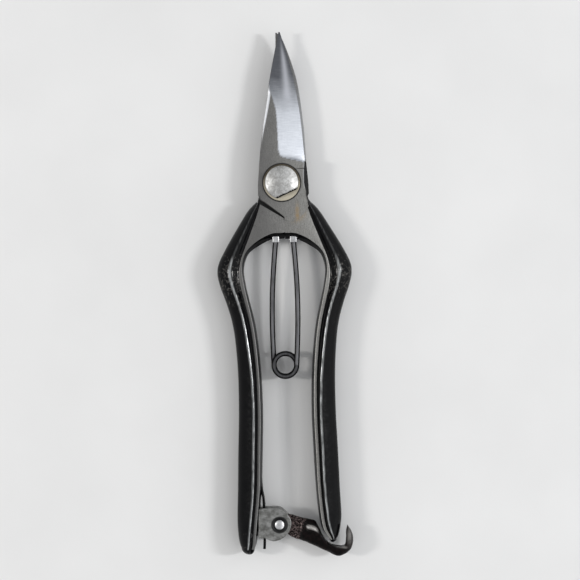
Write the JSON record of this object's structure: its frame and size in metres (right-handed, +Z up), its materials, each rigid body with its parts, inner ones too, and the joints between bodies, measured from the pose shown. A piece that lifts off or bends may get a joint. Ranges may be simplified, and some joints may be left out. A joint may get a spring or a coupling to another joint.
{
  "type": "floral snips",
  "caption": "Hand-forged style flower snips with slim pointed blades, bowed lacquered handles, a coiled wire spring and a swinging hook latch.",
  "frame": {"origin": "on the pivot's axis, in the plane that the snips rest on", "axes": "+Y runs to the blade tips, +Z is up with the snips lying flat, +X is to the right handle"},
  "size_m": [0.0504, 0.1967, 0.011],
  "materials": {
    "ground_steel": "ground, lightly mottled",
    "black_lacquer": "gloss black, worn at the bends",
    "bolt_steel": "hammered and polished",
    "washer_brass": "pale brass",
    "black_spring_wire": "blackened spring wire",
    "bright_steel": "bright",
    "bracket_steel": "satin",
    "hook_iron": "dark brown forged scale",
    "dark_wire": "drawn dark wire"
  },
  "bodies": {
    "pivot": {"pivot_bolt": "bolt_steel", "pivot_washer": "washer_brass", "nut_washer": "bolt_steel", "pivot_nut": "bolt_steel", "main_spring": "black_spring_wire"},
    "left_half": {"left_half": "ground_steel", "left_spring_socket": "bright_steel", "latch_bracket": "bracket_steel", "bracket_rivet": "black_lacquer", "latch_rivet": "bright_steel", "latch_spring": "dark_wire"},
    "right_half": {"right_half": "ground_steel", "right_spring_socket": "bright_steel"},
    "latch": {"latch_hook": "hook_iron"}
  },
  "joints": [
    {"name": "left_half_open", "type": "hinge", "parent": "pivot", "child": "left_half", "pos_m": [0, 0, 0.005], "axis": [0, 0, 1], "range_deg": [-6.2, 0], "deforming": ["main_spring"]},
    {"name": "right_half_open", "type": "hinge", "parent": "pivot", "child": "right_half", "pos_m": [0, 0, 0.005], "axis": [0, 0, 1], "range_deg": [0, 6.2], "deforming": ["main_spring"]},
    {"name": "latch_swing", "type": "hinge", "parent": "left_half", "child": "latch", "pos_m": [-0.00335, -0.1277, 0.005], "axis": [0, 0, 1], "range_deg": [-90, 0], "deforming": ["latch_spring"]}
  ],
  "couplings": [
    {"joint": "right_half_open", "follows": "left_half_open", "ratio": -1},
    {"joint": "latch_swing", "follows": "left_half_open", "ratio": 14.5}
  ]
}
